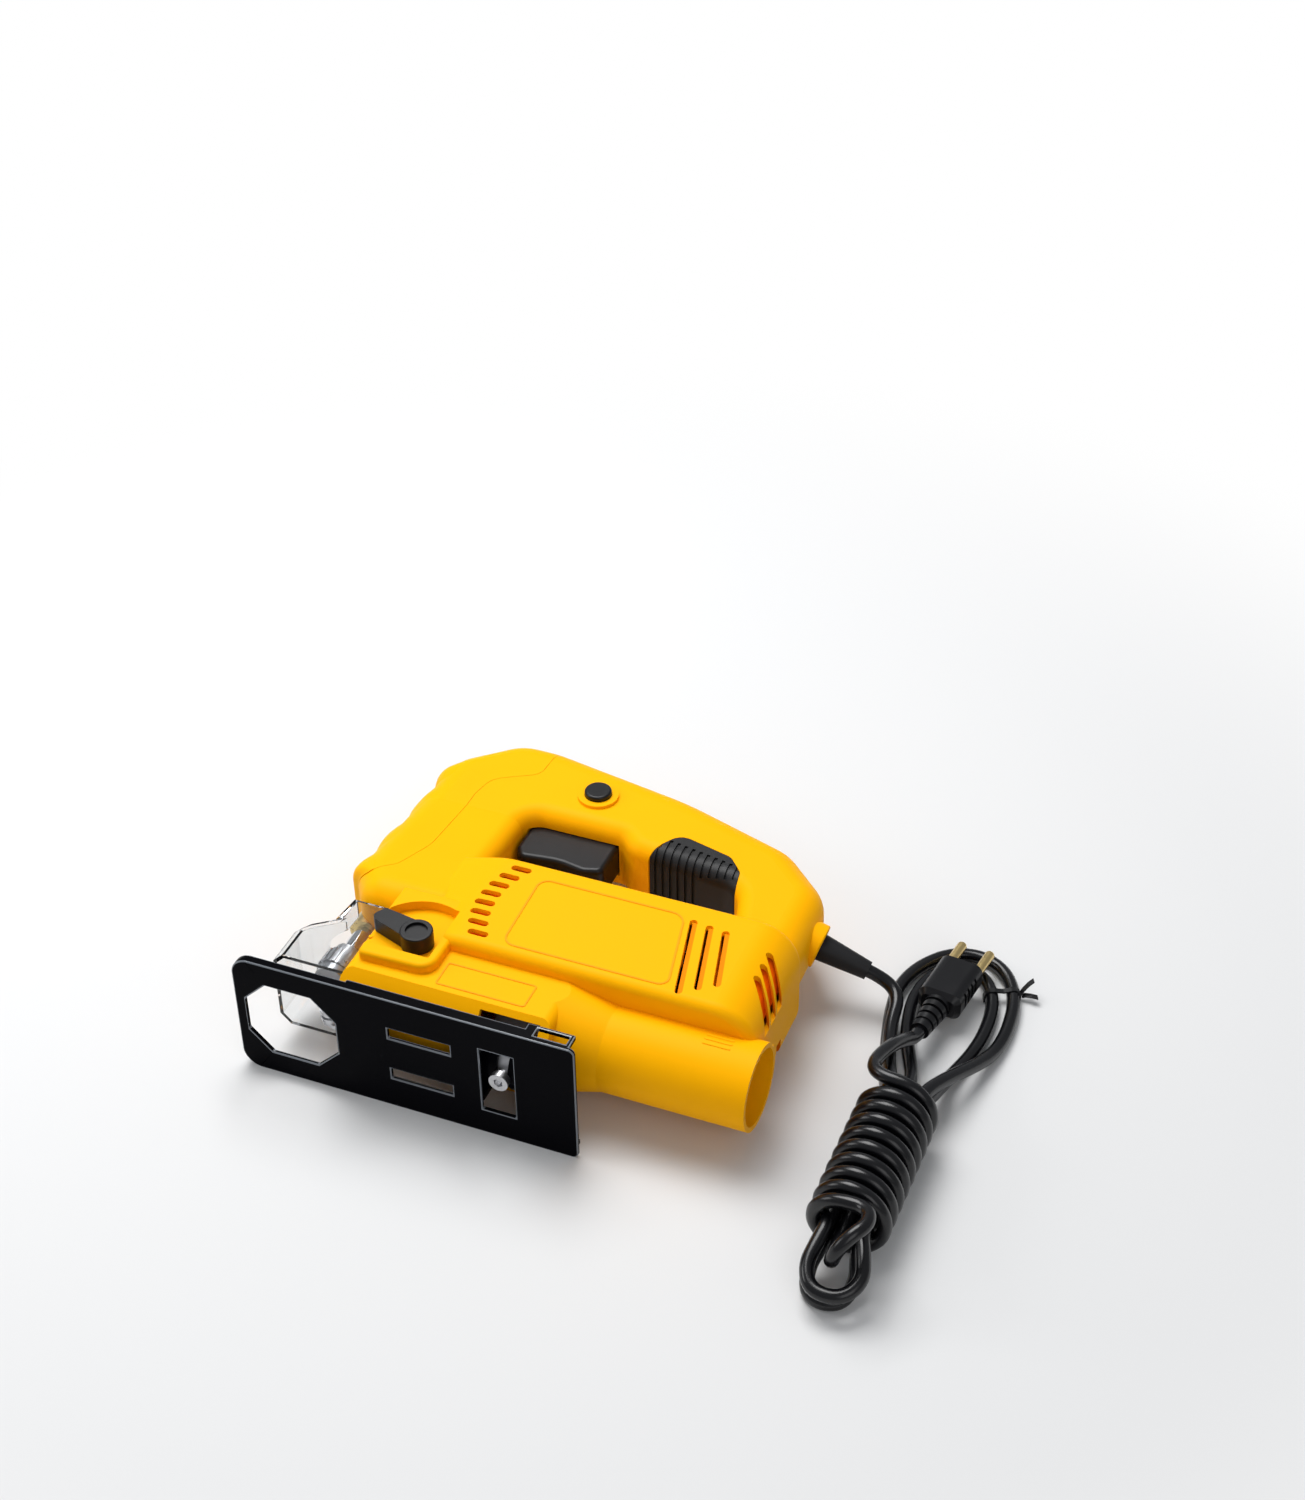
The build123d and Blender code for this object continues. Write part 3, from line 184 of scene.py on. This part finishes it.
def makeGrain(spec):
    group = bpy.data.node_groups.new("mouldedGrain", "ShaderNodeTree")
    for name, kind, value in (
            ("Tone", "NodeSocketColor", (*spec["tone"], 1)),
            ("Deep Tone", "NodeSocketColor", (*spec["deep"], 1)),
            ("Rough Low", "NodeSocketFloat", spec["rough"][0]),
            ("Rough High", "NodeSocketFloat", spec["rough"][1]),
            ("Drift Scale", "NodeSocketFloat", spec["drift"]),
            ("Grain Scale", "NodeSocketFloat", spec["grain"])):
        group.interface.new_socket(name, in_out="INPUT", socket_type=kind).default_value = value
    for name, kind in (("Color", "NodeSocketColor"), ("Roughness", "NodeSocketFloat"),
                       ("Height", "NodeSocketFloat")):
        group.interface.new_socket(name, in_out="OUTPUT", socket_type=kind)
    ins = group.nodes.new("NodeGroupInput").outputs
    outs = group.nodes.new("NodeGroupOutput").inputs
    coords = group.nodes.new("ShaderNodeTexCoord").outputs["Object"]
    drift = noiseNode(group, spec["drift"], spec["driftDetail"], coords)
    group.links.new(ins["Drift Scale"], drift.inputs["Scale"])
    grain = noiseNode(group, spec["grain"], spec["grainDetail"], coords)
    group.links.new(ins["Grain Scale"], grain.inputs["Scale"])
    tone = group.nodes.new("ShaderNodeMix")
    tone.data_type = "RGBA"
    group.links.new(drift.outputs["Fac"], tone.inputs["Factor"])
    group.links.new(ins["Deep Tone"], tone.inputs["A"])
    group.links.new(ins["Tone"], tone.inputs["B"])
    group.links.new(tone.outputs["Result"], outs["Color"])
    gloss = group.nodes.new("ShaderNodeMapRange")
    gloss.inputs["From Min"].default_value = spec["driftRange"][0]
    gloss.inputs["From Max"].default_value = spec["driftRange"][1]
    group.links.new(drift.outputs["Fac"], gloss.inputs["Value"])
    group.links.new(ins["Rough Low"], gloss.inputs["To Min"])
    group.links.new(ins["Rough High"], gloss.inputs["To Max"])
    group.links.new(gloss.outputs["Result"], outs["Roughness"])
    group.links.new(grain.outputs["Fac"], outs["Height"])
    return group


grainGroup = makeGrain(grainLook)


def grainMaterial(name, spec):
    mat = bpy.data.materials.new(name)
    mat.use_nodes = True
    tree = mat.node_tree
    shader = tree.nodes["Principled BSDF"]
    grain = tree.nodes.new("ShaderNodeGroup")
    grain.node_tree = grainGroup
    grain.inputs["Tone"].default_value = (*spec["tone"], 1)
    grain.inputs["Deep Tone"].default_value = (*spec["deep"], 1)
    grain.inputs["Rough Low"].default_value = spec["rough"][0]
    grain.inputs["Rough High"].default_value = spec["rough"][1]
    grain.inputs["Drift Scale"].default_value = spec.get("drift", grainLook["drift"])
    grain.inputs["Grain Scale"].default_value = grainLook["grain"]
    tree.links.new(grain.outputs["Color"], shader.inputs["Base Color"])
    tree.links.new(grain.outputs["Roughness"], shader.inputs["Roughness"])
    bump = tree.nodes.new("ShaderNodeBump")
    bump.inputs["Strength"].default_value = spec.get("bump", grainLook["bump"])
    bump.inputs["Distance"].default_value = grainLook["bumpDepth"]
    tree.links.new(grain.outputs["Height"], bump.inputs["Height"])
    tree.links.new(bump.outputs["Normal"], shader.inputs["Normal"])
    for socket, value in spec.get("plain", {}).items():
        shader.inputs[socket].default_value = value
    return mat


finishes = {
    "yellowPlastic": {"tone": (1.0, 0.46, 0.0), "deep": (0.98, 0.435, 0.0), "rough": (0.44, 0.52),
                      "plain": {"Specular IOR Level": 0.2, "IOR": 1.22}},
    # painted shade: a deeper orange standing in for the shade along the raised lines
    "lineShadePaint": {"tone": (1.0, 0.36, 0.0), "deep": (0.98, 0.34, 0.0), "rough": (0.44, 0.52),
                    "plain": {"Specular IOR Level": 0.1}},
    # painted shade: deep orange for the shade on the groove floors
    "grooveShadePaint": {"tone": (1.0, 0.27, 0.0), "deep": (0.96, 0.24, 0.0), "rough": (0.5, 0.6),
                      "plain": {"Specular IOR Level": 0.05}},
    # painted shade: red-orange for the shade inside the cooling slots
    "ventShadePaint": {"tone": (1.0, 0.20, 0.0), "deep": (0.95, 0.16, 0.0), "rough": (0.6, 0.7),
                    "plain": {"Specular IOR Level": 0.05}},
    "blackPlastic": {"tone": (0.006, 0.006, 0.007), "deep": (0.004, 0.004, 0.005), "rough": (0.30, 0.42),
                     "bump": 0.2, "plain": {"Specular IOR Level": 0.3}},
    "blackRubber": {"tone": (0.008, 0.008, 0.009), "deep": (0.005, 0.005, 0.006), "rough": (0.42, 0.55),
                    "bump": 0.3, "plain": {"Specular IOR Level": 0.3}},
    "cordRubber": {"tone": (0.004, 0.004, 0.005), "deep": (0.002, 0.002, 0.003), "rough": (0.20, 0.28),
                   "plain": {"Specular IOR Level": 0.42}},
    "blackPaint": {"tone": (0.002, 0.002, 0.003), "deep": (0.001, 0.001, 0.002), "rough": (0.16, 0.24),
                   "bump": 0.04, "plain": {"Specular IOR Level": 0.05, "IOR": 1.3}},
    # painted highlight: light bluish grey for the shoe's bevelled edges
    "edgeHighlightPaint": {"tone": (0.15, 0.17, 0.19), "deep": (0.10, 0.11, 0.13), "rough": (0.20, 0.28), "bump": 0.04,
                 "plain": {"Specular IOR Level": 0.7}},
    "steel": {"tone": (0.62, 0.62, 0.63), "deep": (0.5, 0.5, 0.52), "rough": (0.25, 0.4), "drift": 200.0,
              "plain": {"Metallic": 1.0}},
    "brightSteel": {"tone": (0.78, 0.78, 0.79), "deep": (0.7, 0.7, 0.72), "rough": (0.1, 0.18), "bump": 0.03,
                    "plain": {"Metallic": 1.0}},
    "coreSteel": {"tone": (0.32, 0.32, 0.34), "deep": (0.2, 0.2, 0.22), "rough": (0.4, 0.55), "drift": 400.0,
                  "plain": {"Metallic": 1.0}},
    "copper": {"tone": (0.72, 0.34, 0.16), "deep": (0.5, 0.2, 0.08), "rough": (0.28, 0.4), "drift": 600.0,
               "plain": {"Metallic": 1.0}},
    "brass": {"tone": (0.78, 0.6, 0.28), "deep": (0.66, 0.48, 0.2), "rough": (0.25, 0.36), "drift": 120.0,
              "plain": {"Metallic": 1.0}},
    "carbon": {"tone": (0.05, 0.05, 0.05), "deep": (0.03, 0.03, 0.03), "rough": (0.6, 0.75)},
    "dieCast": {"tone": (0.58, 0.58, 0.6), "deep": (0.46, 0.46, 0.48), "rough": (0.42, 0.55), "drift": 300.0,
                "bump": 0.3, "plain": {"Metallic": 1.0}},
}
paints = {name: grainMaterial(name, spec) for name, spec in finishes.items()}


# Clear moulded guard, slightly rippled
guardFinish = {"tint": (0.93, 0.95, 0.96), "rough": 0.03, "ior": 1.49, "ripple": 70.0, "rippleDetail": 2.0,
               "bump": 0.12, "bumpDepth": 0.0006}


def clearPlastic(spec):
    mat = bpy.data.materials.new("clearPlastic")
    mat.use_nodes = True
    tree = mat.node_tree
    shader = tree.nodes["Principled BSDF"]
    shader.inputs["Base Color"].default_value = (*spec["tint"], 1)
    shader.inputs["Roughness"].default_value = spec["rough"]
    shader.inputs["IOR"].default_value = spec["ior"]
    shader.inputs["Transmission Weight"].default_value = 1.0
    coords = tree.nodes.new("ShaderNodeTexCoord").outputs["Object"]
    ripple = noiseNode(tree, spec["ripple"], spec["rippleDetail"], coords)
    bump = tree.nodes.new("ShaderNodeBump")
    bump.inputs["Strength"].default_value = spec["bump"]
    bump.inputs["Distance"].default_value = spec["bumpDepth"]
    tree.links.new(ripple.outputs["Fac"], bump.inputs["Height"])
    tree.links.new(bump.outputs["Normal"], shader.inputs["Normal"])
    return mat


paints["clearPlastic"] = clearPlastic(guardFinish)

finishOfSlot = {
    "yellow_plastic": "yellowPlastic", "black_plastic": "blackPlastic", "black_rubber": "blackRubber",
    "cord_rubber": "cordRubber", "clear_plastic": "clearPlastic", "black_paint": "blackPaint",
    "steel": "steel", "bright_steel": "brightSteel", "core_steel": "coreSteel", "copper": "copper",
    "brass": "brass", "carbon": "carbon", "die_cast": "dieCast",
}
for sub in frame["record"]["subparts"]:
    node = nodes[sub["node"]]
    node.data.materials.clear()
    node.data.materials.append(paints[finishOfSlot[sub["material_slot"]]])


# Pressed edges of the shoe, bevelled and painted light bluish grey as painted highlight
shoeEdge = {"weld": 0.00002, "width": 0.0006, "segments": 2, "angle": 35.0}


def brightenEdges(node, spec, paint):
    node.data.materials.append(paints[paint])
    weld = node.modifiers.new("edgeWeld", "WELD")
    weld.merge_threshold = spec["weld"]
    bevel = node.modifiers.new("edgeBevel", "BEVEL")
    bevel.width = spec["width"]
    bevel.segments = spec["segments"]
    bevel.limit_method = "ANGLE"
    bevel.angle_limit = math.radians(spec["angle"])
    bevel.use_clamp_overlap = False
    # the bevel faces take the painted highlight
    bevel.material = 1


brightenEdges(nodes["shoe"], shoeEdge, "edgeHighlightPaint")


def addPiece(name, bm, paint, body):
    bmesh.ops.remove_doubles(bm, verts=bm.verts[:], dist=1e-6)
    bmesh.ops.recalc_face_normals(bm, faces=bm.faces[:])
    mesh = bpy.data.meshes.new(name)
    bm.to_mesh(mesh)
    bm.free()
    piece = bpy.data.objects.new(name, mesh)
    scene.collection.objects.link(piece)
    mesh.materials.append(paints[paint])
    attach(piece, body)
    return piece


# Faint raised lines moulded on the left side: round the flank's panel and on the lower case, painted a deeper
# orange as painted shade along the lines
raisedLines = {
    "panelFrame": {"corners": [(106, 98.5), (177, 98.5), (187, 51.5), (107.5, 51.5)], "round": 6.0,
                   "roundSteps": 8, "level": 32.0, "wide": 0.9, "rise": 0.3, "sink": 0.3},
    "caseFrame": {"corners": [(88, 38.6), (131, 38.6), (131, 24), (88, 24)], "round": 1.5,
                  "roundSteps": 8, "level": 25.0, "wide": 0.7, "rise": 0.3, "sink": 0.3},
}


def raisedLine(name, spec):
    bm = bmesh.new()
    corners = [bm.verts.new(toolPlace(x, y, spec["level"] - spec["sink"])) for x, y in spec["corners"]]
    bm.faces.new(corners)
    bmesh.ops.bevel(bm, geom=corners, offset=spec["round"] / 1000, segments=spec["roundSteps"], profile=0.5,
                    affect="VERTICES", material=-1)
    middle = bm.faces[:]
    bmesh.ops.inset_region(bm, faces=middle, thickness=spec["wide"] / 1000, use_boundary=True,
                           use_even_offset=True)
    bmesh.ops.delete(bm, geom=middle, context="FACES_ONLY")
    lifted = bmesh.ops.extrude_face_region(bm, geom=bm.faces[:])["geom"]
    bmesh.ops.translate(bm, verts=[v for v in lifted if isinstance(v, bmesh.types.BMVert)],
                        vec=(0, 0, (spec["rise"] + spec["sink"]) / 1000))
    return addPiece(name, bm, "lineShadePaint", "tool")


for lineName, lineSpec in raisedLines.items():
    raisedLine(lineName, lineSpec)
print("raised lines moulded")


# Quarter round behind the slots of the motor's rear corner
cornerArc = {"x": 209.0, "z": 12.0, "radius": 16.4, "steps": 6}


def arcPlaces(spec):
    turns = [math.pi / 2 * step / spec["steps"] for step in range(spec["steps"] + 1)]
    return [(spec["x"] + spec["radius"] * math.sin(turn), spec["z"] + spec["radius"] * math.cos(turn))
            for turn in turns]


# Curtains moulded behind the cooling slots, on both flanks, painted red-orange as painted shade inside the
# slots: sections from front to rear, as (x, z)
curtains = {
    "fanCurtain": {"section": [(82, 26.0), (88, 27.6), (107, 27.8)],
                   "low": 50.0, "high": 105.0, "thick": 0.5},
    "cornerCurtain": {"section": arcPlaces(cornerArc), "low": 52.0, "high": 100.0, "thick": 0.5},
}


def curtain(name, spec, side):
    bm = bmesh.new()
    for x, z in spec["section"]:
        for y in (spec["low"], spec["high"]):
            bm.verts.new(toolPlace(x, y, side * z))
    verts = bm.verts[:]
    for i in range(0, len(verts) - 2, 2):
        bm.faces.new((verts[i], verts[i + 1], verts[i + 3], verts[i + 2]))
    bmesh.ops.recalc_face_normals(bm, faces=bm.faces[:])
    bmesh.ops.solidify(bm, geom=bm.faces[:], thickness=spec["thick"] / 1000)
    return addPiece(name, bm, "ventShadePaint", "tool")


for curtainName, curtainSpec in curtains.items():
    curtain(curtainName + "Left", curtainSpec, 1)
    curtain(curtainName + "Right", curtainSpec, -1)
print("curtains behind the slots")


# Floors of the three long grooves behind the panel, beside their open slits, painted deep orange as painted
# shade in the grooves
grooveFloors = {"starts": [(182.0, 95.0), (190.0, 94.0), (198.0, 93.0)],
                "ends": [(192.0, 51.0), (199.0, 56.0), (206.0, 61.0)], "aside": 0.62, "wide": 2.1,
                "level": 30.5, "thick": 0.25, "roundSteps": 6}


def addFloors(spec):
    bm = bmesh.new()
    for start, end in zip(spec["starts"], spec["ends"]):
        along = (Vector(end) - Vector(start)).normalized()
        turn = math.atan2(along.y, along.x)
        rim = []
        for (x, y), first in ((end, -90), (start, 90)):
            for step in range(spec["roundSteps"] + 1):
                angle = turn + math.radians(first + 180 * step / spec["roundSteps"])
                rim.append(bm.verts.new(toolPlace(x + spec["aside"] + math.cos(angle) * spec["wide"] / 2,
                                                  y + math.sin(angle) * spec["wide"] / 2, spec["level"])))
        bm.faces.new(rim)
    bmesh.ops.recalc_face_normals(bm, faces=bm.faces[:])
    bmesh.ops.solidify(bm, geom=bm.faces[:], thickness=-spec["thick"] / 1000)
    return addPiece("grooveFloors", bm, "grooveShadePaint", "tool")


addFloors(grooveFloors)
print("groove floors laid")


# Three short raised bars on the dust tube, and a setting dot by the tip of the pendulum lever
tubeBars = {"from": 208.5, "to": 221.0, "along": [42.2, 39.5, 36.8], "wide": 0.9, "rise": 0.3, "tall": 1.0,
            "tubeAt": 39.0, "tubeRadius": 20.0}
settingDot = {"place": (47.9, 41.4), "radius": 1.1, "topRadius": 0.88, "level": 25.0, "rise": 0.4,
              "sink": 0.4, "sides": 24}


def addBars(spec):
    bm = bmesh.new()
    for y in spec["along"]:
        top = math.sqrt(spec["tubeRadius"] ** 2 - (y - spec["tubeAt"]) ** 2) + spec["rise"]
        box = bmesh.ops.create_cube(bm, size=1.0)["verts"]
        for vert in box:
            vert.co = toolPlace(spec["from"] if vert.co.x < 0 else spec["to"],
                                y + vert.co.y * spec["wide"], top - spec["tall"] if vert.co.z < 0 else top)
    return addPiece("tubeBars", bm, "yellowPlastic", "tool")


def addDot(spec):
    bm = bmesh.new()
    disc = bmesh.ops.create_cone(bm, cap_ends=True, segments=spec["sides"], radius1=spec["radius"] / 1000,
                                 radius2=spec["topRadius"] / 1000,
                                 depth=(spec["rise"] + spec["sink"]) / 1000)["verts"]
    halfway = spec["level"] + (spec["rise"] - spec["sink"]) / 2
    bmesh.ops.translate(bm, verts=disc, vec=toolPlace(*spec["place"], halfway))
    return addPiece("settingDot", bm, "yellowPlastic", "tool")


addBars(tubeBars)
addDot(settingDot)
print("bars and dot moulded")


# Mains lead: out of its sleeve, through two loops and two folds, round the waist and on to the plug.
# Places are millimetres across and along the hank and above the floor.
lead = {
    "middle": (290.0, 26.0, -32.0), "width": 6.4, "length": 2.105, "roundSteps": 4, "smoothSteps": 6,
    "out": [(-38.44, 111, 22.35), (-29, 111, 19.5), (-21.5, 105, 16.5), (-20.5, 90, 14.2), (-17, 76, 14.4),
            (-13, 62, 17.4), (-8.4, 50, 20.6), (-6.9, 38, 21.5)],
    "upperFold": [(-6.9, -38, 21.5), (-8.2, -50, 19.2), (-9.6, -60, 15.6), (-4.5, -69, 12.3),
                  (8.5, -69.2, 12.3), (15, -60, 15.6), (12, -50, 19.4), (6.9, -38, 21.5)],
    "wideLoop": [(6.9, 38, 21.5), (9, 50, 20.2), (14, 64, 16), (21, 82, 9), (26, 98, 3.8), (27.8, 115, 3.2),
                 (25.5, 137, 3.2), (16.5, 154, 3.2), (3, 160.5, 3.2), (-11.5, 157, 3.2), (-23, 143, 3.2),
                 (-27.8, 126, 3.2), (-26.2, 110, 3.2), (-22.5, 93, 3.2), (-18.5, 77, 4.5), (-13.5, 60, 8.2),
                 (-8.6, 49, 12.6), (-6.9, 38, 14.5)],
    "lowerFold": [(-6.9, -38, 14.5), (-8, -46, 11.8), (-10.4, -53, 6.8), (-8, -63, 3.3), (0, -66.5, 3.2),
                  (8, -63, 3.3), (10.4, -53, 6.8), (8, -46, 11.8), (6.9, -38, 14.5)],
    "innerLoop": [(6.9, 38, 14.5), (8, 49, 12.2), (9.5, 60, 8.8), (12, 76, 4.8), (16, 92, 3.2),
                  (18.4, 108, 3.2), (17.6, 127, 3.2), (12, 142, 3.2), (1.5, 150, 3.2), (-9.5, 146.5, 3.2),
                  (-16.8, 135, 3.2), (-19, 120, 3.2), (-16.5, 104, 3.2), (-12.5, 90, 5), (-7, 76, 8),
                  (-2, 63, 12), (-0.2, 50, 16), (0, 38, 18)],
    "back": [(0, -38, 18), (0, -50, 17.6), (0.8, -60, 21), (3.4, -60.5, 30.5), (8.2, -55, 36),
             (12, -48.5, 36.2), (11, -41, 35), (6, -37.4, 33.8)],
    "wrap": {"turns": 9, "steps": 12, "radius": 15.32, "pitch": 8.2, "high": 18.0},
    "end": [(-8.8, 37.8, 33), (-14.8, 43, 31.6), (-15.2, 53, 29), (-12.8, 66, 25), (-9.8, 78, 18.6),
            (-7.7, 84, 14.6), (-7, 90, 14)],
}


def wrapPlaces(spec):
    places = []
    for step in range(spec["turns"] * spec["steps"] + 1):
        angle = -2 * math.pi * step / spec["steps"]
        along = spec["pitch"] * (step / spec["steps"] - spec["turns"] / 2)
        places.append((spec["radius"] * math.sin(angle), along,
                       spec["high"] + spec["radius"] * math.cos(angle)))
    return places


# Twist tie over both loops, with its two ends bent out.
# Places are millimetres along and across the tie and above the floor.
tie = {"middle": (19.3, 138.0), "turn": 25.0, "wide": 2.6, "thick": 0.7,
       "ribbons": [
           [(-9.3, 0, 0.4), (-9.4, 0, 3.2), (-8.6, 0, 5.6), (-6.6, 0, 6.9), (-4.2, 0, 6.9), (-2.4, 0, 6.3),
            (0, 0, 6.0), (2, 0, 6.3), (3.6, 0, 6.9), (5.6, 0, 6.8), (7.5, 0, 5.6), (8.3, 0, 3.2),
            (8.2, 0, 0.4)],
           [(8.5, 0.2, 3.4), (9.6, 0.6, 5.2), (12.0, 1.8, 7.2), (14.6, 2.8, 8.6)],
           [(8.5, -0.2, 2.6), (10.0, -0.8, 3.6), (12.8, -2.2, 4.2), (15.6, -3.2, 4.0)]]}


def addTie(spec, base):
    turn = math.radians(spec["turn"])
    across = Vector((-math.sin(turn), math.cos(turn), 0)) * spec["wide"] / 2000
    bm = bmesh.new()
    for ribbon in spec["ribbons"]:
        rows = []
        for along, aside, high in ribbon:
            u = spec["middle"][0] + along * math.cos(turn) - aside * math.sin(turn)
            v = spec["middle"][1] + along * math.sin(turn) + aside * math.cos(turn)
            place = toolPlace(*(Vector(base) + Vector((u, v, high))))
            rows.append((bm.verts.new(place - across), bm.verts.new(place + across)))
        for (a, b), (c, d) in zip(rows, rows[1:]):
            bm.faces.new((a, b, d, c))
    bmesh.ops.recalc_face_normals(bm, faces=bm.faces[:])
    bmesh.ops.solidify(bm, geom=bm.faces[:], thickness=spec["thick"] / 1000)
    piece = addPiece("twistTie", bm, "blackPlastic", "tool")
    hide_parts("cord_tie")
    return piece


def addLead(spec, tiePiece):
    places = spec["out"] + spec["upperFold"] + spec["wideLoop"] + spec["lowerFold"] + spec["innerLoop"]
    places = places + spec["back"] + wrapPlaces(spec["wrap"]) + spec["end"]
    curve = bpy.data.curves.new("mainsLead", "CURVE")
    curve.dimensions = "3D"
    curve.bevel_depth = spec["width"] / 2000
    curve.bevel_resolution = spec["roundSteps"]
    curve.use_fill_caps = True
    curve.resolution_u = spec["smoothSteps"]
    line = curve.splines.new("NURBS")
    line.points.add(len(places) - 1)
    for point, place in zip(line.points, places):
        point.co = (*toolPlace(*(Vector(spec["middle"]) + Vector(place))), 1)
    line.order_u = 3
    line.use_endpoint_u = True
    line.use_smooth = True
    cord = bpy.data.objects.new("mainsLead", curve)
    scene.collection.objects.link(cord)
    curve.materials.append(paints["cordRubber"])
    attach(cord, "tool")
    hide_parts("cord_lead", "cord_hank", "cord_wrap", "cord_tail")


addLead(lead, addTie(tie, lead["middle"]))
print("mains lead laid")
